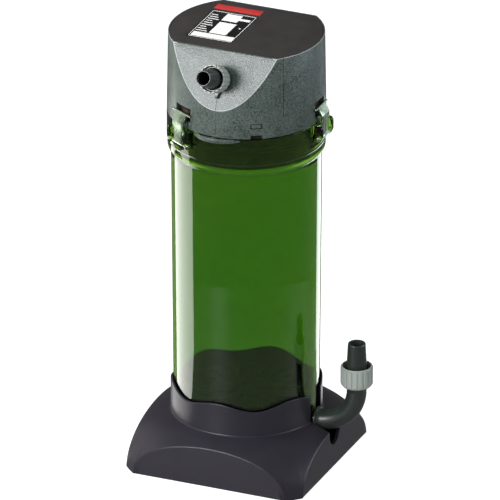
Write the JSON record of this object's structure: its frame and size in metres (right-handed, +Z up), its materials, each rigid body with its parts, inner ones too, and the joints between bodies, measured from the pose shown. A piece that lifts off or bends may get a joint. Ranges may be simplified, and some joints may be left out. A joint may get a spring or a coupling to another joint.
{
  "type": "canister filter",
  "caption": "Upright aquarium canister filter: motor head with a slanting hose outlet, clear green canister held by spring clips, swivelling inlet elbow and a square domed foot.",
  "frame": {"origin": "centre of the footprint on the ground, between the foot's far sides and the two hose fittings", "axes": "+Z up, front with the hose outlet towards -Y, inlet elbow towards +X"},
  "size_m": [0.1624, 0.1462, 0.323],
  "materials": {
    "foot_plastic": "fine matt grain",
    "clear_green": "clear polished",
    "dark_plastic": "satin",
    "clip_steel": "bright pressed sheet",
    "head_plastic": "fine spark-eroded grain",
    "cover_plastic": "fine grain",
    "label": "printed foil",
    "fitting_plastic": "satin",
    "nut_plastic": "satin, ribbed",
    "rubber": "matt",
    "core_iron": "laminated",
    "winding": "enamelled wire",
    "magnet": "sintered",
    "impeller_plastic": "smooth",
    "ceramic": "polished"
  },
  "bodies": {
    "housing": {"foot_base": "foot_plastic", "canister": "clear_green", "lower_grille": "dark_plastic", "upper_grille": "dark_plastic", "clip_pin_1": "clip_steel", "clip_pin_2": "clip_steel", "clip_pin_3": "clip_steel", "head_shell": "head_plastic", "top_cover": "cover_plastic", "label_plate": "label", "pump_body": "dark_plastic", "pump_cover": "dark_plastic", "impeller_shaft": "ceramic", "shaft_bush_upper": "rubber", "shaft_bush_lower": "rubber", "stator_core": "core_iron", "stator_coil_1": "winding", "stator_coil_2": "winding", "head_seal": "rubber", "outlet_spigot": "fitting_plastic", "outlet_duct": "dark_plastic", "cord_gland": "rubber"},
    "rotor": {"rotor_magnet": "magnet", "impeller": "impeller_plastic"},
    "clip_1": {"clip_lever_1": "clip_steel"},
    "clip_2": {"clip_lever_2": "clip_steel"},
    "clip_3": {"clip_lever_3": "clip_steel"},
    "outlet_grip": {"outlet_grip_ring": "fitting_plastic"},
    "outlet_nut": {"outlet_nut": "nut_plastic"},
    "elbow": {"inlet_elbow": "fitting_plastic", "inlet_o_ring": "rubber"},
    "inlet_grip": {"inlet_grip_ring": "fitting_plastic"},
    "inlet_nut": {"inlet_nut": "nut_plastic"}
  },
  "joints": [
    {"name": "rotor_spin", "type": "hinge", "parent": "housing", "child": "rotor", "pos_m": [-0.01397, 0.00585, 0.27], "axis": [0, 0, 1], "continuous": true},
    {"name": "clip_1_hinge", "type": "hinge", "parent": "housing", "child": "clip_1", "pos_m": [-0.04333, -0.04498, 0.254], "axis": [0.866, -0.5, 0], "range_deg": [0, 150]},
    {"name": "clip_2_hinge", "type": "hinge", "parent": "housing", "child": "clip_2", "pos_m": [0.04473, 0.00585, 0.254], "axis": [0, 1, 0], "range_deg": [0, 150]},
    {"name": "clip_3_hinge", "type": "hinge", "parent": "housing", "child": "clip_3", "pos_m": [-0.04333, 0.05669, 0.254], "axis": [-0.866, -0.5, 0], "range_deg": [0, 150]},
    {"name": "outlet_grip_slide", "type": "slide", "parent": "housing", "child": "outlet_grip", "axis": [0, -0.9157, 0.4019], "range_m": [0, 0.006]},
    {"name": "outlet_nut_turn", "type": "hinge", "parent": "outlet_grip", "child": "outlet_nut", "pos_m": [-0.01397, -0.04982, 0.30852], "axis": [0, -0.9157, 0.4019], "range_deg": [0, 1080.5]},
    {"name": "elbow_swivel", "type": "hinge", "parent": "housing", "child": "elbow", "pos_m": [0.03993, 0.00585, 0.0344], "axis": [1, 0, 0], "range_deg": [-90, 90]},
    {"name": "inlet_grip_slide", "type": "slide", "parent": "elbow", "child": "inlet_grip", "axis": [0, 0, 1], "range_m": [0, 0.006]},
    {"name": "inlet_nut_turn", "type": "hinge", "parent": "inlet_grip", "child": "inlet_nut", "pos_m": [0.06972, 0.00585, 0.073], "axis": [0, 0, 1], "range_deg": [0, 1080.5]}
  ],
  "couplings": [
    {"joint": "outlet_nut_turn", "follows": "outlet_grip_slide", "rad_per_m": 3141.6},
    {"joint": "inlet_nut_turn", "follows": "inlet_grip_slide", "rad_per_m": 3141.6}
  ]
}
